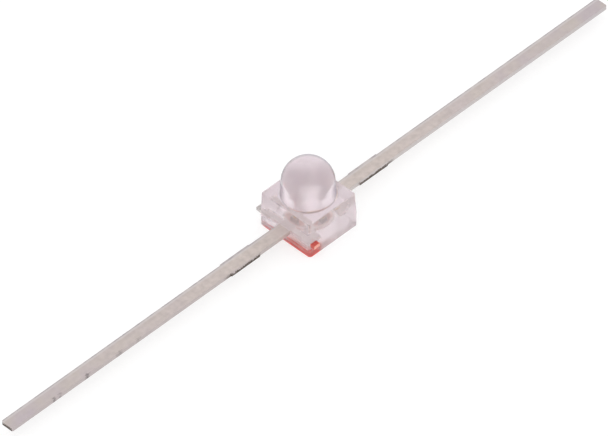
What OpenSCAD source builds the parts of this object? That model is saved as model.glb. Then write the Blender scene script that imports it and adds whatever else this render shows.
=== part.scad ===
// Sub-miniature axial-lead LED: a clear moulded body with a domed lens, two
// flat leads, and a chip bonded in a reflector cup drawn in the cathode lead.
// Millimetres, Z up. The leads run along X with the cathode at -X, and the
// origin is the centre of the body's underside.

/* [Body] */
// Length of the block along the leads, at the parting line
body_x = 2.16; // [2.1:0.02:2.8]
// Width of the block across the leads, at the parting line
body_y = 2.26; // [2.1:0.02:2.8]
// Height of the block's flat top above its underside
body_h = 1.36; // [1.1:0.02:1.8]
// Draft of the block's sides above the parting line, in degrees
upper_draft = 3.5; // [1:0.5:4]
// Draft of the block's sides below the parting line, in degrees
lower_draft = 1.5; // [0.5:0.5:8]
// Least radius of the upright corners, at the level of the flat top
corner_r = 0.06; // [0.05:0.01:0.2]
// Radius of the edges round the flat top
edge_r = 0.04; // [0.02:0.005:0.05]

/* [Lens] */
// Radius of the lens dome
lens_r = 0.87; // [0.6:0.01:0.88]
// Height of the dome's centre above the flat top
lens_rise = 0.5; // [0.2:0.02:0.7]
// Draft of the lens's straight sides, in degrees
lens_draft = 3; // [1:0.5:4]
// Radius of the fillet at the foot of the lens
foot_r = 0.05; // [0.02:0.01:0.06]

/* [Leads] */
// Width of the lead frame's strips before plating
lead_w = 0.46; // [0.36:0.02:0.6]
// Thickness of the lead frame before plating
lead_t = 0.13; // [0.1:0.01:0.2]
// Height of the lead frame's underside above the body's underside
lead_z = 0.46; // [0.3:0.02:0.56]
// Length of each lead outside the body
lead_reach = 12.2; // [5:0.1:16]
// Thickness of the tin plating on the leads outside the body
plating_t = 0.01; // [0.005:0.005:0.02]
// Radius of the corners at the lead tips
tip_r = 0.05; // [0.02:0.01:0.1]
// Length of the sheared stubs that the tie bars leave on a lead's edges
stub_len = 1.25; // [0.6:0.05:1.8]
// Distance that the stubs stand out from a lead's edges
stub_out = 0.03; // [0.02:0.01:0.08]
// Distance from the body to the stubs on the cathode lead
cathode_stub_gap = 1.35; // [0.4:0.05:1.8]
// Distance from the body to the stubs on the anode lead
anode_stub_gap = 0.95; // [0.4:0.05:1.8]
// Width of the support tabs at the body's sides
tab_w = 0.25; // [0.15:0.05:0.35]
// Distance from the body's cathode end to the support tabs
tab_inset = 0.04; // [0.03:0.01:0.1]
// Distance that the support tabs stand out from the body's sides
tab_out = 0.16; // [0.04:0.02:0.3]
// Distance from the body's cathode end to the wide plate that joins the tabs
plate_inset = 0.12; // [0.1:0.01:0.16]
// Length of the wide plate along the lead
plate_len = 0.42; // [0.4:0.01:0.46]
// Width of the epoxy beside the wide plate
plate_margin = 0.15; // [0.13:0.01:0.3]

/* [Cup and post] */
// Width of the cup's floor left bare round the chip's corners
floor_margin = 0.04; // [0.03:0.005:0.06]
// Depth of the cup below the top of the lead frame
cup_depth = 0.14; // [0.1:0.01:0.16]
// Slope of the cup's wall from upright, in degrees
cup_flare = 40; // [25:1:50]
// Thickness of the cup's wall and floor
cup_wall = 0.08; // [0.05:0.01:0.1]
// Width of the flat rim round the cup's mouth
pad_rim = 0.12; // [0.11:0.01:0.16]
// Gap between the cathode's round pad and the anode post
post_gap = 0.14; // [0.1:0.01:0.2]
// Length of the post's head along the lead
post_len = 0.25; // [0.2:0.01:0.3]
// Width of the post's head
post_w = 0.9; // [0.65:0.05:1.2]

/* [Chip] */
// Side of the square chip
chip_s = 0.26; // [0.2:0.01:0.3]
// Height of the chip
chip_h = 0.2; // [0.1:0.01:0.28]
// Thickness of the die attach under the chip
attach_t = 0.02; // [0.01:0.005:0.03]
// Height that the die attach climbs up the chip's sides
attach_climb = 0.04; // [0.02:0.01:0.06]
// Width of the die attach beyond the chip's corners
attach_rim = 0.02; // [0.01:0.005:0.025]
// Diameter of the gold contact on the chip
contact_d = 0.11; // [0.09:0.01:0.15]
// Thickness of the gold contact
contact_t = 0.01; // [0.005:0.005:0.02]

/* [Bond wire] */
// Diameter of the wire
wire_d = 0.03; // [0.02:0.002:0.04]
// Diameter of the flattened ball on the contact
ball_d = 0.08; // [0.06:0.005:0.085]
// Height of the flattened ball
ball_h = 0.03; // [0.02:0.005:0.05]
// Height that the wire aims for above the ball before it turns
loop_rise = 0.45; // [0.3:0.05:0.6]
// Length over which the wire levels out towards the post
landing_run = 0.25; // [0.15:0.01:0.3]
// Length of the flattened stitch on the post
stitch_len = 0.1; // [0.06:0.01:0.14]
// Width of the stitch
stitch_w = 0.05; // [0.045:0.005:0.08]
// Thickness of the stitch
stitch_t = 0.012; // [0.008:0.001:0.018]

/* [Cathode mark] */
// Width of the ink stripe under the body's cathode end
stripe_w = 0.45; // [0.2:0.05:0.8]
// Thickness of the ink
stripe_t = 0.02; // [0.01:0.005:0.03]

/* [Hidden] */
$fn = 64;

// Levels, upwards from the underside
lead_top = lead_z + lead_t;
part_z = lead_z + lead_t / 2;
cup_floor_z = lead_top - cup_depth;
chip_z = cup_floor_z + attach_t;
contact_z = chip_z + chip_h;
ball_z = contact_z + contact_t;
wire_z = ball_z + ball_h;
lens_z = body_h + lens_rise;

// The block's section is kept to this many places, so that its slabs and corners agree
function tidy(v) = round(10000 * v) / 10000;

// The block's sides lean in by this much at the flat top and at the underside
top_inset = (body_h - part_z) * tan(upper_draft);
base_inset = tidy(part_z * tan(lower_draft));

// Round of the top edge in steps: each point's distance from the side, and its height
edge_steps = 5;
edge_run = edge_r * tan((90 - upper_draft) / 2);

function edge_point(i) =
    let (a = upper_draft + (90 - upper_draft) * i / edge_steps)
    [tidy(top_inset + edge_run - edge_r * cos(a)), tidy(body_h - edge_r + edge_r * sin(a))];

// Radius of the block's upright corners at the parting line, in whole hundredths
part_corner_r = ceil(100 * (corner_r + top_inset)) / 100;

// The dome runs into the lens's straight sides at this radius and height
neck_r = lens_r * cos(lens_draft);
neck_z = lens_z + lens_r * sin(lens_draft);
lens_foot_r = neck_r + (neck_z - body_h) * tan(lens_draft);
fillet_r = lens_foot_r + foot_r * (1 - sin(lens_draft)) / cos(lens_draft);

// Radii of the cup and its pad, and where the post's head starts
chip_corner_r = chip_s * sqrt(2) / 2;
floor_r = chip_corner_r + floor_margin;
mouth_r = floor_r + cup_depth * tan(cup_flare);
pad_r = mouth_r + pad_rim;
post_x = pad_r + post_gap;

// The bare frame runs this far from the centre, into the plated leads
frame_reach = body_x / 2 + lead_w;

// The bond wire: an eight-sided tube through rings, each of which holds a place
// along X, a height, the wire's slope, and the tube's half width and half height
wire_sides = 8;
side_turn = 360 / wire_sides;
flat_share = cos(side_turn / 2);
ball_steps = 4;
ball_low = -45;
ball_high = acos(wire_d / ball_d);
loop_steps = 20;
stitch_x = post_x + (post_len - stitch_len) / 2;
stitch_tip_t = stitch_t / 2;
loop_start = [0, wire_z];
loop_aim = loop_start + [0, loop_rise];
loop_end = [stitch_x, lead_top + wire_d / 2];
loop_landing = loop_end - [landing_run, 0];

function ball_angle(i) = ball_low + (ball_high - ball_low) * i / ball_steps;

function ball_share(i) =
    (sin(ball_angle(i)) - sin(ball_low)) / (sin(ball_high) - sin(ball_low));

function ball_ring(i) =
    let (r = ball_d / 2 * cos(ball_angle(i)))
    [0, ball_z + ball_h * ball_share(i), 90, r, r];

function loop_point(t) =
    pow(1 - t, 3) * loop_start + 3 * t * pow(1 - t, 2) * loop_aim
    + 3 * t * t * (1 - t) * loop_landing + pow(t, 3) * loop_end;

function loop_slope(t) =
    let (run = pow(1 - t, 2) * (loop_aim - loop_start)
        + 2 * t * (1 - t) * (loop_landing - loop_aim)
        + t * t * (loop_end - loop_landing))
    atan2(run[1], run[0]);

function loop_ring(t) =
    let (p = loop_point(t))
    [p[0], p[1], loop_slope(t), wire_d / 2, wire_d / 2];

function stitch_ring(x, w, t) = [x, lead_top + t / 2, 0, w / 2, t / 2 / flat_share];

wire_rings = concat(
    [for (i = [0 : ball_steps - 1]) ball_ring(i)],
    [for (i = [0 : loop_steps]) loop_ring(i / loop_steps)],
    [
        stitch_ring(stitch_x + stitch_len / 2, stitch_w, stitch_t),
        stitch_ring(stitch_x + stitch_len, stitch_w, stitch_tip_t)
    ]
);

function ring_point(ring, i) =
    let (a = side_turn * (i + 0.5), lift = ring[4] * sin(a))
    [ring[0] - lift * sin(ring[2]), ring[3] * cos(a), ring[1] + lift * cos(ring[2])];

// Half of the block's upright section, from its middle to a side
module half_section(half) {
    edge = [for (i = [0 : edge_steps]) let (p = edge_point(i)) [half - p[0], p[1]]];
    polygon(concat([[0, 0], [half - base_inset, 0], [half, part_z]], edge, [[0, body_h]]));
}

module full_section(half) {
    half_section(half);
    mirror([1, 0]) half_section(half);
}

// The block: one drafted slab each way and a tapered round in each corner
module block() {
    rotate([90, 0, 0])
        linear_extrude(body_y - 2 * part_corner_r, center = true) full_section(body_x / 2);
    rotate([90, 0, 90])
        linear_extrude(body_x - 2 * part_corner_r, center = true) full_section(body_y / 2);
    for (sx = [-1, 1], sy = [-1, 1])
        translate([sx * (body_x / 2 - part_corner_r), sy * (body_y / 2 - part_corner_r), 0])
            rotate_extrude() half_section(part_corner_r);
}

// The lens: a dome on drafted sides, with a fillet where it meets the flat top
module lens() {
    rotate_extrude() {
        intersection() {
            translate([0, lens_z]) circle(lens_r);
            translate([0, neck_z]) square(lens_r);
        }
        polygon([
            [0, part_z],
            [lens_foot_r, part_z],
            [lens_foot_r, body_h],
            [neck_r, neck_z],
            [0, neck_z]
        ]);
        difference() {
            translate([0, part_z]) square([fillet_r, body_h + foot_r - part_z]);
            translate([fillet_r, body_h + foot_r]) circle(foot_r);
        }
    }
}

module body_form() {
    block();
    lens();
}

// One lead outside the body, towards +X, with its tie-bar stubs, cut to the body's end
module plated_lead(stub_gap) {
    w = lead_w + 2 * plating_t;
    root = body_x / 2 - part_corner_r;
    tip = body_x / 2 + lead_reach;
    difference() {
        translate([0, 0, lead_z - plating_t])
            linear_extrude(lead_t + 2 * plating_t) {
                translate([root, -w / 2]) square([tip - tip_r - root, w]);
                translate([root, tip_r - w / 2]) square([tip - root, w - 2 * tip_r]);
                for (side = [-1, 1])
                    translate([tip - tip_r, side * (w / 2 - tip_r)]) circle(tip_r);
                translate([body_x / 2 + stub_gap, -w / 2 - stub_out])
                    square([stub_len, w + 2 * stub_out]);
            }
        block();
    }
}

// The cup's hollow, from its floor up to the top of the pad
module cup_hollow() {
    translate([0, 0, cup_floor_z]) cylinder(h = cup_depth, r1 = floor_r, r2 = mouth_r);
}

// The cathode side of the lead frame: strip, wide plate with tabs, and a pad with a drawn cup
module cathode_frame() {
    tab_x = tab_inset - body_x / 2;
    tab_y = body_y / 2 + tab_out;
    plate_x = plate_inset - body_x / 2;
    plate_y = body_y / 2 - plate_margin;
    cup_base = cup_floor_z - cup_wall;
    wall_run = (lead_z - cup_base) * tan(cup_flare);
    difference() {
        union() {
            translate([0, 0, lead_z]) linear_extrude(lead_t) {
                translate([-frame_reach, -lead_w / 2]) square([frame_reach, lead_w]);
                translate([plate_x, -plate_y]) square([plate_len, 2 * plate_y]);
                for (side = [0, 1])
                    mirror([0, side])
                        translate([tab_x, plate_y - tab_w]) square([tab_w, tab_y - plate_y + tab_w]);
                circle(pad_r);
            }
            translate([0, 0, cup_base])
                cylinder(h = lead_z - cup_base, r1 = floor_r, r2 = floor_r + wall_run);
        }
        cup_hollow();
    }
}

// The anode side of the lead frame: strip and a wide post for the bond wire
module anode_frame() {
    translate([0, 0, lead_z]) linear_extrude(lead_t) {
        translate([post_x, -lead_w / 2]) square([frame_reach - post_x, lead_w]);
        translate([post_x, -post_w / 2]) square([post_len, post_w]);
    }
}

module chip_form() {
    translate([-chip_s / 2, -chip_s / 2, chip_z]) cube([chip_s, chip_s, chip_h]);
}

module contact_form() {
    translate([0, 0, contact_z]) cylinder(h = contact_t, d = contact_d);
}

module wire_form() {
    last = len(wire_rings) - 1;
    points = [for (ring = wire_rings, i = [0 : wire_sides - 1]) ring_point(ring, i)];
    sides = [
        for (r = [0 : last - 1], i = [0 : wire_sides - 1])
            let (j = (i + 1) % wire_sides, a = r * wire_sides, b = a + wire_sides)
            [a + i, a + j, b + j, b + i]
    ];
    start_cap = [for (i = [wire_sides - 1 : -1 : 0]) i];
    end_cap = [for (i = [0 : wire_sides - 1]) last * wire_sides + i];
    polyhedron(points, concat(sides, [start_cap, end_cap]));
}

module stripe_form() {
    intersection() {
        block();
        translate([-body_x / 2, -body_y / 2, 0])
            cube([base_inset + stripe_w, body_y, stripe_t]);
    }
}

// Clear epoxy moulded round the lead frame, the chip and the wire
module epoxy_body() {
    color([0.87, 0.82, 0.84, 0.4]) difference() {
        body_form();
        cathode_frame();
        anode_frame();
        attach_form();
        chip_form();
        contact_form();
        wire_form();
        stripe_form();
    }
}

module cathode_lead() {
    color([0.77, 0.74, 0.71]) union() {
        cathode_frame();
        mirror([1, 0, 0]) plated_lead(cathode_stub_gap);
    }
}

module anode_lead() {
    color([0.77, 0.74, 0.71]) union() {
        anode_frame();
        plated_lead(anode_stub_gap);
    }
}

module led_chip() {
    color([0.74, 0.52, 0.42]) chip_form();
}

module attach_form() {
    climb = attach_t + attach_climb;
    translate([0, 0, cup_floor_z])
        cylinder(h = climb, r1 = chip_corner_r + attach_rim, r2 = chip_corner_r);
}

// Silver adhesive under the chip and a little way up its sides
module die_attach() {
    color([0.72, 0.72, 0.74]) difference() {
        attach_form();
        chip_form();
    }
}

module chip_contact() {
    color([0.86, 0.68, 0.3]) contact_form();
}

module bond_wire() {
    color([0.88, 0.7, 0.32]) wire_form();
}

module cathode_stripe() {
    color([0.78, 0.16, 0.14]) stripe_form();
}

epoxy_body();
cathode_lead();
anode_lead();
led_chip();
die_attach();
chip_contact();
bond_wire();
cathode_stripe();
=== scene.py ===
# Looks of the axial-lead LED in a white studio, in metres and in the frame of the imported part
import math

import bpy
import numpy as np
from mathutils import Matrix, Vector


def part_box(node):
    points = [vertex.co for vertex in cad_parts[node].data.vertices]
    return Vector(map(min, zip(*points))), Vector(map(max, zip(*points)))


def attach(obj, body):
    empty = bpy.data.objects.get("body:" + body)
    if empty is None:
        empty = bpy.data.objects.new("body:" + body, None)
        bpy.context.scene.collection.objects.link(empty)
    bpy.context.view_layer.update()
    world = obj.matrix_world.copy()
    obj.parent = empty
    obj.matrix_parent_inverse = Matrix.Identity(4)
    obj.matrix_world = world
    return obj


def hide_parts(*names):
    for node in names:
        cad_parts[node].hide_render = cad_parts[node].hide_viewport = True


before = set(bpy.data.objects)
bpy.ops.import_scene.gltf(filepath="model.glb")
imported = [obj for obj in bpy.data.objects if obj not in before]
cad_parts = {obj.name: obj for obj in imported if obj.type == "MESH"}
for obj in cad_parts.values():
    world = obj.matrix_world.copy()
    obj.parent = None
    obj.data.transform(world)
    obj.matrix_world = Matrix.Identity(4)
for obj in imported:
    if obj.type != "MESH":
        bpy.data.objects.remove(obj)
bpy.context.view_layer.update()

MM = 0.001

# Corners of the solids' boxes
body_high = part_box("epoxy_body")[1]
lead_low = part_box("cathode_lead")[0]
stripe_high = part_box("cathode_stripe")[1]
contact_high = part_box("chip_contact")[1]
wire_low, wire_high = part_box("bond_wire")

# Sizes of the moulded body, as in the part
half_x = body_high.x
half_y = body_high.y
block_top = 1.36 * MM
parting_z = 0.525 * MM
upper_draft = math.radians(3.5)
lower_draft = math.radians(1.5)
corner_r = 0.12 * MM
edge_r = 0.04 * MM
lens_r = 0.87 * MM
lens_z = 1.86 * MM
lens_draft = math.radians(3)
foot_r = 0.05 * MM

# Sizes of the leads and the bond wire, as in the part
lead_tip = -lead_low.x
lead_half_w = 0.24 * MM
stub_len = 1.25 * MM
stub_out = 0.03 * MM
cathode_stub_end = half_x + 1.35 * MM + stub_len
anode_stub_end = half_x + 0.95 * MM + stub_len
cup_r = 0.34 * MM
wire_d = 0.03 * MM
ball_d = 0.08 * MM
ball_h = 0.03 * MM
ball_low = math.radians(-45)
loop_rise = 0.45 * MM
landing_run = 0.25 * MM
stitch_len = 0.1 * MM
stitch_w = 0.05 * MM
stitch_t = 0.012 * MM

# Pits in the cathode lead's -Y edge: place along X, half length, and how dark
edge_pits = (
    (-7.77 * MM, 0.13 * MM, 0.2),
    (-8.6 * MM, 0.15 * MM, 0.35),
    (-10.0 * MM, 0.12 * MM, 0.8),
    (-11.2 * MM, 0.1 * MM, 0.4),
    (-11.45 * MM, 0.09 * MM, 0.55),
)
pit_y = -0.92 * lead_half_w
pit_half_w = 0.05 * MM

# Where a pit starts and where it is darkest, in half sizes from its middle
pit_rim = 1.5
pit_core = 0.7

# The darker lower part of the cut edges: its uneven height round the parting line, and how far it runs
# past the stubs
lower_cut_dip = 0.03 * MM
lower_cut_rise = 0.09 * MM
lower_cut_run = 0.35 * MM

# Where each tone of the plating starts and is full, along and across a lead, and how strong it gets,
# among them painted light by the body, a painted highlight and painted shade at the +Y edge and painted
# shading on the -Y side
far_from = 3 * half_x
far_share = 0.8
# Painted light on the leads by the body
body_light_from = 1.8 * half_x
body_light_full = 1.3 * half_x
body_light_share = 0.5
# The painted highlight along each lead's +Y edge
edge_highlight_from = 0.5 * lead_half_w
edge_highlight_full = 0.65 * lead_half_w
edge_highlight_share = 0.65
# The painted shade line at each lead's +Y edge
edge_shade_from = 0.8 * lead_half_w
edge_shade_full = 0.9 * lead_half_w
# The painted shading on each lead's -Y side
side_shading_from = 0.97 * lead_half_w
side_shading_share = 0.6

# Where the cup's painted warm reflection of the chip starts and is full
cup_reflection_from = 1.3 * cup_r
cup_reflection_full = 1.05 * cup_r

# How high the ink has crept up the end and the side, and where it is full
end_creep_top = parting_z
end_creep_full = 0.4 * parting_z
side_creep_top = 0.9 * parting_z
side_creep_full = 0.5 * parting_z

# The painted highlight in the ink, a pale streak, from the end of the body
ink_highlight_from = 0.18 * MM
ink_highlight_to = 0.39 * MM
ink_highlight_fade = 0.04 * MM

# How close to the body's faces, the leads' edges and the tab's end counts as on them
face_reach = 0.02 * MM
edge_reach = 0.005 * MM
tab_end_reach = 0.01 * MM

# Uneven tones: size of the cells, darker colour, lighter colour
tones = {
    "lens": (0.5 * MM, (0.965, 0.89, 0.97), (0.99, 0.93, 1.0)),
    "block": (0.4 * MM, (0.97, 0.89, 0.95), (0.99, 0.93, 0.985)),
    "crept ink": (0.12 * MM, (0.98, 0.2, 0.16), (1.0, 0.45, 0.4)),
    "near plating": (0.2 * MM, (0.51, 0.445, 0.415), (0.64, 0.56, 0.525)),
    "far plating": (0.9 * MM, (0.48, 0.415, 0.475), (0.52, 0.465, 0.43)),
    # The lower part of the cut edges, drawn nearly black
    "dark lower cut": (0.05 * MM, (0.035, 0.025, 0.02), (0.2, 0.16, 0.135)),
    "inner metal": (0.06 * MM, (0.88, 0.79, 0.73), (1.0, 0.96, 0.91)),
    # Painted reflection of the chip in the cup
    "cup": (0.06 * MM, (0.85, 0.6, 0.52), (0.98, 0.78, 0.7)),
    "thick smear": (0.05 * MM, (0.42, 0.03, 0.02), (0.72, 0.12, 0.09)),
    # Thin ink with a painted highlight, on the tab's end
    "thin smear and highlight": (0.05 * MM, (0.8, 0.2, 0.14), (0.92, 0.55, 0.46)),
    "bare tab": (0.05 * MM, (0.35, 0.32, 0.31), (0.75, 0.7, 0.69)),
    "chip": (0.04 * MM, (0.42, 0.34, 0.31), (0.58, 0.5, 0.46)),
    "adhesive": (0.02 * MM, (0.7, 0.66, 0.64), (0.82, 0.78, 0.76)),
    "gold": (0.02 * MM, (0.75, 0.5, 0.16), (0.85, 0.62, 0.24)),
    "ink": (0.08 * MM, (0.86, 0.03, 0.02), (1.0, 0.08, 0.06)),
}

# Cells of plain unevenness: dashes in the painted edge shade, the pits' outlines and the lines of
# rolling
dash_cell = 0.3 * MM
wander_cell = 0.1 * MM
rolled_cell = 0.08 * MM
rolled_stretch = (0.06, 1, 1)

# Roughness where a finish is smoothest and roughest, and what a tear adds
roughness = {
    "epoxy": (0.16, 0.21),
    "tin": (0.4, 0.52),
    "chip": (0.3, 0.5),
    "adhesive": (0.5, 0.7),
    "gold": (0.2, 0.35),
    "ink": (0.4, 0.6),
}
torn_roughness = 0.2

# How metallic the leads are outside and inside the body, and the bumps on finishes
plate_metallic = 0.45
inner_metallic = 0.05
relief = 0.001 * MM
rolled_bump = 0.4
plain_bump = 0.5

# The clear epoxy, and how far the lens's edge turns away where its painted rim shade starts and is full
epoxy_ior = 1.53
epoxy_clearness = 0.79
epoxy_density = 45.0
rim_shade_from = 0.55
rim_shade_full = 0.78

# Plain colours
# Painted shade for the lens's rim
lens_rim_shade = (0.28, 0.26, 0.32, 1)
epoxy_depth = (0.96, 0.61, 0.4, 1)
# Painted highlight along the leads' +Y edge
edge_highlight = (0.62, 0.58, 0.575, 1)
# Painted shade at the leads' +Y edge
edge_shade = (0.33, 0.295, 0.315, 1)
# Painted shading on the leads' -Y sides, darker on the cathode and lighter on the anode
cathode_side_shading = (0.5, 0.445, 0.445, 1)
anode_side_shading = (0.6, 0.57, 0.57, 1)
# Painted light for the plating by the body
body_lit_plate = (0.76, 0.67, 0.63, 1)
pit_dark = (0.07, 0.055, 0.06, 1)
# Painted highlight in the ink
ink_highlight = (1.0, 0.8, 0.77, 1)
thin_ink = (0.95, 0.72, 0.7, 1)
white = (1, 1, 1, 1)
paper_white = (0.94, 0.94, 0.94, 1)
shade_grey = (0.4, 0.4, 0.4, 1)

# The camera's angles and distance, and where the frame's origin falls in the picture
frame_w, frame_h = 608, 436
view_azimuth = math.radians(-44.45)
view_elevation = math.radians(44.3)
view_roll = math.radians(-1.0)
view_distance = 0.46
pixels_per_metre = 31720
origin_px = (308.8, 223.8)
sensor_mm = 36.0
clip_near = 0.01

# The floor, the sky and the lamp
floor_half = 4.0
floor_drop = 0.005 * MM
floor_glow = 0.64
sky_strength = 1.0
lamp_place = (-0.15, -0.1, 0.35)
lamp_size = 0.25
lamp_watts = 0.1

# How finely the body and the wire are drawn, and how close two equal places are
side_points = 40
corner_points = 12
round_points = 8
dome_points = 56
wire_sides = 16
wire_steps = 16
hair = 1e-9


# Node helpers
def new_material(name):
    mat = bpy.data.materials.new(name)
    mat.use_nodes = True
    nodes = mat.node_tree.nodes
    nodes.clear()
    out = nodes.new("ShaderNodeOutputMaterial")
    shader = nodes.new("ShaderNodeBsdfPrincipled")
    mat.node_tree.links.new(shader.outputs["BSDF"], out.inputs["Surface"])
    return mat, shader


def add(tree, kind, inputs=None, **settings):
    node = tree.nodes.new(kind)
    for name, value in settings.items():
        setattr(node, name, value)
    for name, value in (inputs or {}).items():
        if isinstance(value, bpy.types.NodeSocket):
            tree.links.new(value, node.inputs[name])
        else:
            node.inputs[name].default_value = value
    return node


def maths(tree, operation, a, b=None):
    inputs = {0: a} if b is None else {0: a, 1: b}
    return add(tree, "ShaderNodeMath", inputs, operation=operation).outputs[0]


def product(tree, first, *others):
    for other in others:
        first = maths(tree, "MULTIPLY", first, other)
    return first


def vector_maths(tree, operation, a, b):
    return add(tree, "ShaderNodeVectorMath", {0: a, 1: b}, operation=operation).outputs[0]


def length(tree, vector):
    return add(tree, "ShaderNodeVectorMath", {0: vector}, operation="LENGTH").outputs["Value"]


def mix_colour(tree, share, a, b):
    node = add(tree, "ShaderNodeMix", data_type="RGBA")
    for socket, value in ((node.inputs[0], share), (node.inputs[6], a), (node.inputs[7], b)):
        if isinstance(value, bpy.types.NodeSocket):
            tree.links.new(value, socket)
        else:
            socket.default_value = value
    return node.outputs[2]


def span(tree, value, low, high, to_low=0.0, to_high=1.0):
    inputs = {"Value": value, "From Min": low, "From Max": high, "To Min": to_low, "To Max": to_high}
    return add(tree, "ShaderNodeMapRange", inputs).outputs["Result"]


def object_place(tree):
    return add(tree, "ShaderNodeTexCoord").outputs["Object"]


def split(tree, place):
    return add(tree, "ShaderNodeSeparateXYZ", {0: place}).outputs


# One effect for every finish: a fine uneven tone in cells of a given size
def make_mottle_group():
    group = bpy.data.node_groups.new("fine_mottle", "ShaderNodeTree")
    face = group.interface
    face.new_socket("Place", in_out="INPUT", socket_type="NodeSocketVector")
    face.new_socket("Cells per metre", in_out="INPUT", socket_type="NodeSocketFloat")
    face.new_socket("Stretch", in_out="INPUT", socket_type="NodeSocketVector")
    face.new_socket("Dark", in_out="INPUT", socket_type="NodeSocketColor")
    face.new_socket("Light", in_out="INPUT", socket_type="NodeSocketColor")
    face.new_socket("Colour", in_out="OUTPUT", socket_type="NodeSocketColor")
    face.new_socket("Tone", in_out="OUTPUT", socket_type="NodeSocketFloat")
    given = group.nodes.new("NodeGroupInput").outputs
    end = group.nodes.new("NodeGroupOutput")
    stretched = vector_maths(group, "MULTIPLY", given["Place"], given["Stretch"])
    noise = add(
        group, "ShaderNodeTexNoise",
        {"Vector": stretched, "Scale": given["Cells per metre"], "Detail": 4.0},
    )
    tone = span(group, noise.outputs[0], 0.3, 0.7)
    colour = mix_colour(group, tone, given["Dark"], given["Light"])
    group.links.new(colour, end.inputs["Colour"])
    group.links.new(tone, end.inputs["Tone"])
    return group


mottle_group = make_mottle_group()


def mottle(tree, place, tone_name):
    """The colour of a named tone, and its value from 0 to 1."""
    cell, dark, light = tones[tone_name]
    inputs = {
        "Place": place,
        "Cells per metre": 1 / cell,
        "Stretch": (1, 1, 1),
        "Dark": (*dark, 1),
        "Light": (*light, 1),
    }
    outputs = add(tree, "ShaderNodeGroup", inputs, node_tree=mottle_group).outputs
    return outputs["Colour"], outputs["Tone"]


def tone_colour(tree, place, tone_name):
    return mottle(tree, place, tone_name)[0]


def uneven(tree, place, cell, stretch=(1, 1, 1)):
    """An uneven value from 0 to 1."""
    inputs = {"Place": place, "Cells per metre": 1 / cell, "Stretch": stretch}
    return add(tree, "ShaderNodeGroup", inputs, node_tree=mottle_group).outputs["Tone"]


def bump(tree, shader, height, strength):
    node = add(tree, "ShaderNodeBump", {"Height": height, "Distance": relief, "Strength": strength})
    tree.links.new(node.outputs["Normal"], shader.inputs["Normal"])


# The clear epoxy
def crept_ink(tree, axes):
    """How much ink is on the block, at the -Y side of the cathode end and round the corner there."""
    at_end = span(tree, axes["X"], corner_r - half_x, face_reach - half_x)
    beside_lead = span(tree, axes["Y"], 0.0, -lead_half_w)
    end_creep = span(tree, axes["Z"], end_creep_top, end_creep_full)
    at_side = span(tree, axes["Y"], corner_r - half_y, face_reach - half_y)
    near_end = span(tree, axes["X"], stripe_high.x + corner_r, stripe_high.x)
    side_creep = span(tree, axes["Z"], side_creep_top, side_creep_full)
    up_end = product(tree, at_end, beside_lead, end_creep)
    up_side = product(tree, at_side, near_end, side_creep)
    return maths(tree, "MAXIMUM", up_end, up_side)


def clear_epoxy():
    mat, shader = new_material("clear_epoxy")
    tree = mat.node_tree
    place = object_place(tree)
    axes = split(tree, place)
    lens_tint = tone_colour(tree, place, "lens")
    block_tint, tone = mottle(tree, place, "block")
    stain = tone_colour(tree, place, "crept ink")
    block_tint = mix_colour(tree, crept_ink(tree, axes), block_tint, stain)
    on_lens = maths(tree, "GREATER_THAN", axes["Z"], block_top)
    tint = mix_colour(tree, on_lens, block_tint, lens_tint)
    # A thin grey line of painted shade where the lens turns away from the eye
    facing = add(tree, "ShaderNodeLayerWeight", {"Blend": 0.5}).outputs["Facing"]
    rim_shade = product(tree, span(tree, facing, rim_shade_from, rim_shade_full), on_lens)
    tree.links.new(mix_colour(tree, rim_shade, tint, lens_rim_shade), shader.inputs["Base Color"])
    tree.links.new(span(tree, tone, 0, 1, *roughness["epoxy"]), shader.inputs["Roughness"])
    shader.inputs["IOR"].default_value = epoxy_ior
    shader.inputs["Transmission Weight"].default_value = epoxy_clearness
    depth = add(tree, "ShaderNodeVolumeAbsorption", {"Color": epoxy_depth, "Density": epoxy_density})
    tree.links.new(depth.outputs["Volume"], tree.nodes["Material Output"].inputs["Volume"])
    return mat


# The leads' tin plate and the marks on it
def plating(tree, place, axes, along, at_anode):
    """The plate: painted light by the body, grey by the tips, a painted highlight and a line of painted
    shade at its +Y edge, and painted shading on its -Y side.
    """
    far = span(tree, along, far_from, lead_tip, 0.0, far_share)
    near_colour = tone_colour(tree, place, "near plating")
    colour = mix_colour(tree, far, near_colour, tone_colour(tree, place, "far plating"))
    # A painted highlight runs along the +Y edge
    edge_highlight_mask = span(tree, axes["Y"], edge_highlight_from, edge_highlight_full, 0.0, edge_highlight_share)
    colour = mix_colour(tree, edge_highlight_mask, colour, edge_highlight)
    # A broken line of painted shade lies along the +Y edge
    edge_shade_mask = span(tree, axes["Y"], edge_shade_from, edge_shade_full)
    dashes = uneven(tree, place, dash_cell)
    colour = mix_colour(tree, product(tree, edge_shade_mask, dashes), colour, edge_shade)
    # Painted shading on the -Y side: darker on the cathode, lighter on the anode
    side_shading = mix_colour(tree, at_anode, cathode_side_shading, anode_side_shading)
    side_shading_mask = span(tree, axes["Y"], -side_shading_from, -lead_half_w, 0.0, side_shading_share)
    colour = mix_colour(tree, side_shading_mask, colour, side_shading)
    # Painted light lightens the plating by the body
    body_light_mask = span(tree, along, body_light_from, body_light_full, 0.0, body_light_share)
    return mix_colour(tree, body_light_mask, colour, body_lit_plate)


def pitted(tree, place, colour):
    """The colour with ragged dark pits in it."""
    wander = uneven(tree, place, wander_cell)
    for pit_x, half_length, darkness in edge_pits:
        away = vector_maths(tree, "SUBTRACT", place, (pit_x, pit_y, 0))
        scaled = vector_maths(tree, "MULTIPLY", away, (1 / half_length, 1 / pit_half_w, 0))
        distance = maths(tree, "ADD", length(tree, scaled), wander)
        pit = span(tree, distance, pit_rim, pit_core, 0.0, darkness)
        colour = mix_colour(tree, pit, colour, pit_dark)
    return colour


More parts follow.
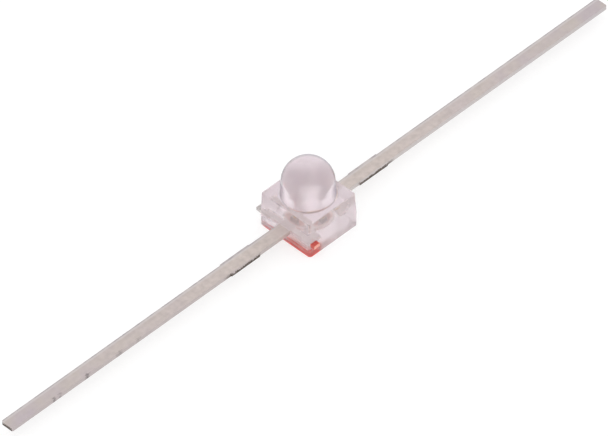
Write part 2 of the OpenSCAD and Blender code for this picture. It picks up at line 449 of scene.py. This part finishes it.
def lower_cut_edge(tree, axes, along, at_anode, ragged):
    """A mask of the lower part of each cut edge: on the stubs, fading out past them, and at the tips."""
    off_axis = maths(tree, "ABSOLUTE", axes["Y"])
    on_stub = maths(tree, "GREATER_THAN", off_axis, lead_half_w + 0.9 * stub_out)
    on_tip = maths(tree, "GREATER_THAN", along, lead_tip - edge_reach)
    stub_end = span(tree, at_anode, 0, 1, cathode_stub_end, anode_stub_end)
    beyond = maths(tree, "SUBTRACT", along, stub_end)
    past_stub = maths(tree, "GREATER_THAN", beyond, 0.0)
    on_flank = maths(tree, "GREATER_THAN", off_axis, lead_half_w - edge_reach)
    run_on = product(tree, on_flank, past_stub, span(tree, beyond, lower_cut_run, 0.0))
    cut = maths(tree, "MAXIMUM", maths(tree, "MAXIMUM", on_stub, on_tip), run_on)
    lower_cut_top = span(tree, ragged, 0, 1, parting_z - lower_cut_dip, parting_z + lower_cut_rise)
    below_cut_top = maths(tree, "LESS_THAN", axes["Z"], lower_cut_top)
    return product(tree, cut, below_cut_top)


def tab_ends(tree, place, axes, inside, colour):
    """The colour with a smear of ink on the -Y tab, thin on the tab's end with a painted highlight
    there, and with the +Y tab bare.
    """
    bare = product(tree, inside, maths(tree, "GREATER_THAN", axes["Y"], half_y - face_reach))
    colour = mix_colour(tree, bare, colour, tone_colour(tree, place, "bare tab"))
    smeared = product(tree, inside, maths(tree, "LESS_THAN", axes["Y"], face_reach - half_y))
    on_end = maths(tree, "LESS_THAN", axes["Y"], lead_low.y + tab_end_reach)
    thick_smear = tone_colour(tree, place, "thick smear")
    smear = mix_colour(tree, on_end, thick_smear, tone_colour(tree, place, "thin smear and highlight"))
    return mix_colour(tree, smeared, colour, smear)


def tin_plate():
    mat, shader = new_material("tin_plate")
    tree = mat.node_tree
    place = object_place(tree)
    axes = split(tree, place)
    along = maths(tree, "ABSOLUTE", axes["X"])
    inside = maths(tree, "LESS_THAN", along, half_x)
    outside = maths(tree, "SUBTRACT", 1.0, inside)
    at_anode = maths(tree, "GREATER_THAN", axes["X"], 0.0)
    plated = pitted(tree, place, plating(tree, place, axes, along, at_anode))
    colour = mix_colour(tree, inside, plated, tone_colour(tree, place, "inner metal"))
    # The lower part of each cut edge is drawn nearly black
    grain, ragged = mottle(tree, place, "dark lower cut")
    sheared = product(tree, outside, lower_cut_edge(tree, axes, along, at_anode, ragged))
    colour = mix_colour(tree, sheared, colour, grain)
    # The cup is painted with a warm reflection of the chip
    radius = length(tree, vector_maths(tree, "MULTIPLY", place, (1, 1, 0)))
    at_cup = span(tree, radius, cup_reflection_from, cup_reflection_full)
    colour = mix_colour(tree, at_cup, colour, tone_colour(tree, place, "cup"))
    colour = tab_ends(tree, place, axes, inside, colour)
    rolled = uneven(tree, place, rolled_cell, rolled_stretch)
    smooth = span(tree, rolled, 0, 1, *roughness["tin"])
    rough = maths(tree, "ADD", smooth, product(tree, sheared, torn_roughness))
    metallic = span(tree, inside, 0, 1, plate_metallic, inner_metallic)
    tree.links.new(colour, shader.inputs["Base Color"])
    tree.links.new(rough, shader.inputs["Roughness"])
    tree.links.new(metallic, shader.inputs["Metallic"])
    bump(tree, shader, product(tree, rolled, outside), rolled_bump)
    return mat


# The chip, the adhesive, the gold and the ink
def plain_finish(name, tone_name, metallic=0.0):
    mat, shader = new_material(name)
    tree = mat.node_tree
    colour, tone = mottle(tree, object_place(tree), tone_name)
    tree.links.new(colour, shader.inputs["Base Color"])
    tree.links.new(span(tree, tone, 0, 1, *roughness[tone_name]), shader.inputs["Roughness"])
    shader.inputs["Metallic"].default_value = metallic
    bump(tree, shader, tone, plain_bump)
    return mat


def red_ink():
    mat = plain_finish("red_ink", "ink")
    tree = mat.node_tree
    base_colour = tree.nodes["Principled BSDF"].inputs["Base Color"]
    full = base_colour.links[0].from_socket
    axes = split(tree, object_place(tree))
    # A painted highlight runs along the stripe as a pale streak and stops short of its -Y corner
    inward = maths(tree, "ADD", axes["X"], half_x)
    streak_start = span(tree, inward, ink_highlight_from, ink_highlight_from + ink_highlight_fade)
    streak_end = span(tree, inward, ink_highlight_to, ink_highlight_to - ink_highlight_fade)
    off_corner = span(tree, axes["Y"], 2 * corner_r - half_y, 4 * corner_r - half_y)
    ink_highlight_mask = product(tree, streak_start, streak_end, off_corner)
    printed = mix_colour(tree, ink_highlight_mask, full, ink_highlight)
    # The stripe runs thin towards its +Y end
    thin = span(tree, axes["Y"], half_y - 2.5 * corner_r, half_y - corner_r)
    tree.links.new(mix_colour(tree, thin, printed, thin_ink), base_colour)
    return mat


epoxy_finish = clear_epoxy()
tin_finish = tin_plate()
chip_finish = plain_finish("chip_crystal", "chip")
adhesive_finish = plain_finish("silver_adhesive", "adhesive", metallic=0.2)
gold_finish = plain_finish("gold", "gold", metallic=1.0)
ink_finish = red_ink()


# The moulded body: rings from the underside up to the top of the dome
def outline_stations(stripe_edge):
    """Base points on the block's inner rectangle, and outward directions, anticlockwise."""
    ax, ay = half_x - corner_r, half_y - corner_r
    bases, outs = [], []

    def side(start, end, out):
        for t in np.linspace(0, 1, side_points):
            bases.append((start[0] + (end[0] - start[0]) * t, start[1] + (end[1] - start[1]) * t))
            outs.append(out)

    def corner(x, y, start):
        for t in np.linspace(0, 1, corner_points + 2)[1:-1]:
            angle = math.radians(start + 90 * t)
            bases.append((x, y))
            outs.append((math.cos(angle), math.sin(angle)))

    def split_side(start, end, out):
        middle = (stripe_edge, start[1])
        side(start, middle, out)
        del bases[-1], outs[-1]
        side(middle, end, out)

    side((ax, -ay), (ax, ay), (1, 0))
    corner(ax, ay, 0)
    split_side((ax, ay), (-ax, ay), (0, 1))
    corner(-ax, ay, 90)
    side((-ax, ay), (-ax, -ay), (-1, 0))
    corner(-ax, -ay, 180)
    split_side((-ax, -ay), (ax, -ay), (0, -1))
    corner(ax, -ay, 270)
    return np.array(bases), np.array(outs)


def body_rings(bases, outs):
    """Each ring's points, and its normals for the strip below it and the strip above it."""
    rings = []
    count = len(bases)

    def lean(directions, angle):
        return np.column_stack([directions * math.cos(angle), np.full(count, math.sin(angle))])

    def block_ring(inset, z, below, above):
        flat = bases + outs * (corner_r - inset)
        points = np.column_stack([flat, np.full(count, z)])
        rings.append((points, lean(outs, below), lean(outs, above)))

    def lens_ring(r, z, angle):
        points = np.column_stack([round_outs * r, np.full(count, z)])
        rings.append((points, lean(round_outs, angle), lean(round_outs, angle)))

    top_inset = (block_top - parting_z) * math.tan(upper_draft)
    base_inset = parting_z * math.tan(lower_draft)
    ink_top = stripe_high.z / 2
    edge_run = edge_r * math.tan(math.pi / 4 - upper_draft / 2)
    block_ring(base_inset, 0, -lower_draft, -lower_draft)
    block_ring(base_inset - ink_top * math.tan(lower_draft), ink_top, -lower_draft, -lower_draft)
    block_ring(0, parting_z, -lower_draft, upper_draft)
    for angle in np.linspace(upper_draft, math.pi / 2, round_points):
        inset = top_inset + edge_run - edge_r * math.cos(angle)
        block_ring(inset, block_top - edge_r + edge_r * math.sin(angle), angle, angle)

    top = rings[-1][0][:, :2]
    round_outs = top / np.linalg.norm(top, axis=1)[:, None]
    neck_r = lens_r * math.cos(lens_draft)
    neck_z = lens_z + lens_r * math.sin(lens_draft)
    side_r = neck_r + (neck_z - block_top) * math.tan(lens_draft)
    fillet_r = side_r + foot_r * (1 - math.sin(lens_draft)) / math.cos(lens_draft)
    for angle in np.linspace(math.pi / 2, lens_draft, round_points):
        r = fillet_r - foot_r * math.cos(angle)
        lens_ring(r, block_top + foot_r - foot_r * math.sin(angle), angle)
    for angle in np.linspace(lens_draft, math.pi / 2, dome_points)[:-1]:
        lens_ring(lens_r * math.cos(angle), lens_z + lens_r * math.sin(angle), angle)
    return rings


def make_body():
    bases, outs = outline_stations(stripe_high.x)
    rings = body_rings(bases, outs)
    count = len(bases)
    points = np.vstack([r[0] for r in rings] + [[[0, 0, lens_z + lens_r]]])
    faces, normals = [], []

    def face(corners, corner_normals):
        faces.append(corners)
        normals.extend(tuple(n) for n in corner_normals)

    # The lowest strip of wall is left out over the ink stripe, whose own sides show there
    striped = bases[:, 0] < stripe_high.x + hair
    for k in range(len(rings) - 1):
        low, high = rings[k][2], rings[k + 1][1]
        for i in range(count):
            j = (i + 1) % count
            if k == 0 and striped[i] and striped[j]:
                continue
            corners = [k * count + i, k * count + j, (k + 1) * count + j, (k + 1) * count + i]
            face(corners, [low[i], low[j], high[j], high[i]])
    last = (len(rings) - 1) * count
    for i in range(count):
        j = (i + 1) % count
        face([last + i, last + j, len(points) - 1], [rings[-1][2][i], rings[-1][2][j], (0, 0, 1)])

    # The underside has a step at the stripe's inner edge
    first, second = [i for i in range(count) if abs(bases[i, 0] - stripe_high.x) < hair]
    plain = list(range(second, count)) + list(range(0, first + 1))
    inked = list(range(first, second + 1))
    face(plain[::-1], [(0, 0, -1)] * len(plain))
    face([count + i for i in inked[::-1]], [(0, 0, -1)] * len(inked))
    face([first, second, count + second, count + first], [(-1, 0, 0)] * 4)

    mesh = bpy.data.meshes.new("clear_body")
    mesh.from_pydata([tuple(p) for p in points], [], faces)
    mesh.polygons.foreach_set("use_smooth", [True] * len(faces))
    mesh.normals_split_custom_set(normals)
    mesh.materials.append(epoxy_finish)
    body = bpy.data.objects.new("clear_body", mesh)
    bpy.context.scene.collection.objects.link(body)
    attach(body, "root")
    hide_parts("epoxy_body")


make_body()

# The bond wire: a tube along its path, which swells into the ball and is pressed flat into the stitch
wire_sizes = {
    "Wire width": wire_d,
    "Ball width": ball_d,
    "Ball height": ball_h,
    "Stitch start": wire_high.x - stitch_len,
    "Stitch length": stitch_len,
    "Stitch width": stitch_w,
    "Stitch thickness": stitch_t,
    "Post height": wire_low.z,
}


def wire_tree():
    tree = bpy.data.node_groups.new("bond_wire", "GeometryNodeTree")
    face = tree.interface
    face.new_socket("Path", in_out="INPUT", socket_type="NodeSocketGeometry")
    for name in wire_sizes:
        face.new_socket(name, in_out="INPUT", socket_type="NodeSocketFloat")
    face.new_socket("Finish", in_out="INPUT", socket_type="NodeSocketMaterial")
    face.new_socket("Wire", in_out="OUTPUT", socket_type="NodeSocketGeometry")
    given = tree.nodes.new("NodeGroupInput").outputs
    end = tree.nodes.new("NodeGroupOutput")

    def half_chord(rise):
        return maths(tree, "SQRT", maths(tree, "SUBTRACT", 1.0, product(tree, rise, rise)))

    # The ball is cut flat below, and narrows above to the wire's own width
    steps = add(tree, "GeometryNodeResampleCurve", {"Curve": given["Path"]}, mode="EVALUATED")
    walked = add(tree, "GeometryNodeSplineParameter").outputs["Length"]
    top_rise = half_chord(maths(tree, "DIVIDE", given["Wire width"], given["Ball width"]))
    rise = span(tree, walked, 0.0, given["Ball height"], math.sin(ball_low), top_rise)
    radius = product(tree, half_chord(rise), maths(tree, "DIVIDE", given["Ball width"], 2.0))
    ring = add(tree, "GeometryNodeCurvePrimitiveCircle", {"Resolution": wire_sides, "Radius": 1.0})
    tube = add(tree, "GeometryNodeCurveToMesh", {
        "Curve": steps.outputs[0],
        "Profile Curve": ring.outputs["Curve"],
        "Scale": radius,
        "Fill Caps": True,
    })

    # Over the first half of the stitch the tube is pressed flat, and over the rest it thins out
    axes = split(tree, add(tree, "GeometryNodeInputPosition").outputs[0])
    past = maths(tree, "SUBTRACT", axes["X"], given["Stitch start"])
    share = maths(tree, "DIVIDE", past, given["Stitch length"])
    full_width = maths(tree, "DIVIDE", given["Stitch width"], given["Wire width"])
    full_press = maths(tree, "DIVIDE", given["Stitch thickness"], given["Wire width"])
    wider = span(tree, share, 0.0, 0.5, 1.0, full_width)
    flatter = span(tree, share, 0.0, 0.5, 1.0, full_press)
    thinner = product(tree, flatter, span(tree, share, 0.5, 1.0, 1.0, 0.5))
    lift = product(tree, maths(tree, "SUBTRACT", axes["Z"], given["Post height"]), thinner)
    pressed = add(tree, "ShaderNodeCombineXYZ", {
        "X": axes["X"],
        "Y": product(tree, axes["Y"], wider),
        "Z": maths(tree, "ADD", given["Post height"], lift),
    })
    inputs = {"Geometry": tube.outputs[0], "Position": pressed.outputs[0]}
    moved = add(tree, "GeometryNodeSetPosition", inputs)
    real = add(tree, "GeometryNodeRealizeInstances", {"Geometry": moved.outputs[0]})
    inputs = {"Geometry": real.outputs[0], "Material": given["Finish"]}
    made = add(tree, "GeometryNodeSetMaterial", inputs)
    tree.links.new(made.outputs[0], end.inputs["Wire"])
    return tree


def wire_path():
    """A curve up through the ball, over the loop and along the stitch."""
    ball = Vector((0, 0, contact_high.z))
    loop = ball + Vector((0, 0, ball_h))
    stitch = Vector((wire_sizes["Stitch start"], 0, wire_low.z + wire_d / 2))
    tip = stitch + Vector((stitch_len, 0, 0))
    stops = [
        (ball, ball, ball.lerp(loop, 1 / 3)),
        (loop, ball.lerp(loop, 2 / 3), loop + Vector((0, 0, loop_rise))),
        (stitch, stitch - Vector((landing_run, 0, 0)), stitch.lerp(tip, 1 / 3)),
        (tip, stitch.lerp(tip, 2 / 3), tip),
    ]
    curve = bpy.data.curves.new("wire_path", "CURVE")
    curve.dimensions = "3D"
    spline = curve.splines.new("BEZIER")
    spline.resolution_u = wire_steps
    spline.bezier_points.add(len(stops) - 1)
    for point, (place, before, after) in zip(spline.bezier_points, stops):
        point.handle_left_type = point.handle_right_type = "FREE"
        point.co = place
        point.handle_left = before
        point.handle_right = after
    return bpy.data.objects.new("wire_path", curve)


def make_wire():
    path = wire_path()
    bpy.context.scene.collection.objects.link(path)
    modifier = path.modifiers.new("wire", "NODES")
    modifier.node_group = wire_tree()
    values = {**wire_sizes, "Finish": gold_finish}
    for item in modifier.node_group.interface.items_tree:
        if item.in_out == "INPUT" and item.name in values:
            modifier[item.identifier] = values[item.name]
    evaluated = path.evaluated_get(bpy.context.evaluated_depsgraph_get())
    mesh = bpy.data.meshes.new_from_object(evaluated)
    path.modifiers.remove(modifier)
    bpy.data.objects.remove(path)
    mesh.polygons.foreach_set("use_smooth", [True] * len(mesh.polygons))
    wire = bpy.data.objects.new("gold_wire", mesh)
    bpy.context.scene.collection.objects.link(wire)
    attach(wire, "root")
    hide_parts("bond_wire")


make_wire()

# Finishes of the pieces that keep their solids
finishes = {
    "cathode_lead": tin_finish,
    "anode_lead": tin_finish,
    "led_chip": chip_finish,
    "die_attach": adhesive_finish,
    "chip_contact": gold_finish,
    "cathode_stripe": ink_finish,
}
for name, finish in finishes.items():
    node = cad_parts[name]
    node.data.materials.clear()
    node.data.materials.append(finish)


# The studio: a white floor that keeps the shadow, and even light from all round
def white_rays(tree):
    """A value of 1 for rays that show the floor, and 0 for rays that only carry light."""
    path = add(tree, "ShaderNodeLightPath")
    seen = maths(tree, "MAXIMUM", path.outputs["Is Camera Ray"], path.outputs["Is Glossy Ray"])
    return maths(tree, "MAXIMUM", seen, path.outputs["Is Transmission Ray"])


def make_floor():
    mesh = bpy.data.meshes.new("floor")
    corners = [
        (-floor_half, -floor_half, -floor_drop),
        (floor_half, -floor_half, -floor_drop),
        (floor_half, floor_half, -floor_drop),
        (-floor_half, floor_half, -floor_drop),
    ]
    mesh.from_pydata(corners, [], [(0, 1, 2, 3)])
    floor = bpy.data.objects.new("floor", mesh)
    bpy.context.scene.collection.objects.link(floor)
    mat = bpy.data.materials.new("floor")
    mat.use_nodes = True
    tree = mat.node_tree
    tree.nodes.clear()
    out = add(tree, "ShaderNodeOutputMaterial")
    paper = add(tree, "ShaderNodeBsdfDiffuse", {"Color": paper_white})
    shade = add(tree, "ShaderNodeBsdfDiffuse", {"Color": shade_grey})
    glow = add(tree, "ShaderNodeEmission", {"Color": white, "Strength": floor_glow})
    shown = add(tree, "ShaderNodeAddShader", {0: shade.outputs[0], 1: glow.outputs[0]})
    inputs = {0: white_rays(tree), 1: paper.outputs[0], 2: shown.outputs[0]}
    mixed = add(tree, "ShaderNodeMixShader", inputs)
    tree.links.new(mixed.outputs[0], out.inputs["Surface"])
    mesh.materials.append(mat)


def make_world():
    world = bpy.data.worlds.new("studio")
    bpy.context.scene.world = world
    world.use_nodes = True
    tree = world.node_tree
    tree.nodes.clear()
    out = add(tree, "ShaderNodeOutputWorld")
    light = add(tree, "ShaderNodeBackground", {"Color": white, "Strength": sky_strength})
    tree.links.new(light.outputs[0], out.inputs["Surface"])


def make_lamp():
    lamp = bpy.data.lights.new("key", "AREA")
    lamp.shape = "DISK"
    lamp.size = lamp_size
    lamp.energy = lamp_watts
    holder = bpy.data.objects.new("key", lamp)
    holder.location = lamp_place
    holder.rotation_euler = (-Vector(lamp_place)).to_track_quat("-Z", "Y").to_euler()
    holder.visible_glossy = False
    holder.visible_transmission = False
    bpy.context.scene.collection.objects.link(holder)


def make_camera():
    back = Vector((
        math.sin(view_azimuth) * math.cos(view_elevation),
        -math.cos(view_azimuth) * math.cos(view_elevation),
        math.sin(view_elevation),
    ))
    level = Vector((math.cos(view_azimuth), math.sin(view_azimuth), 0))
    upright = back.cross(level)
    right = math.cos(view_roll) * level + math.sin(view_roll) * upright
    up = math.cos(view_roll) * upright - math.sin(view_roll) * level
    aim = right * (frame_w / 2 - origin_px[0]) + up * (origin_px[1] - frame_h / 2)
    place = aim / pixels_per_metre + back * view_distance
    data = bpy.data.cameras.new("camera")
    data.sensor_width = sensor_mm
    data.lens = sensor_mm * view_distance * pixels_per_metre / frame_w
    data.clip_start = clip_near
    camera = bpy.data.objects.new("camera", data)
    turn = Matrix((right, up, back)).transposed()
    camera.matrix_world = Matrix.Translation(place) @ turn.to_4x4()
    bpy.context.scene.collection.objects.link(camera)
    bpy.context.scene.camera = camera


make_floor()
make_world()
make_lamp()
make_camera()
bpy.context.scene.view_settings.view_transform = "Standard"

# Light turns many times inside the clear body before it leaves
bpy.context.scene.cycles.max_bounces = 32
bpy.context.scene.cycles.diffuse_bounces = 8
bpy.context.scene.cycles.glossy_bounces = 24
bpy.context.scene.cycles.transmission_bounces = 32
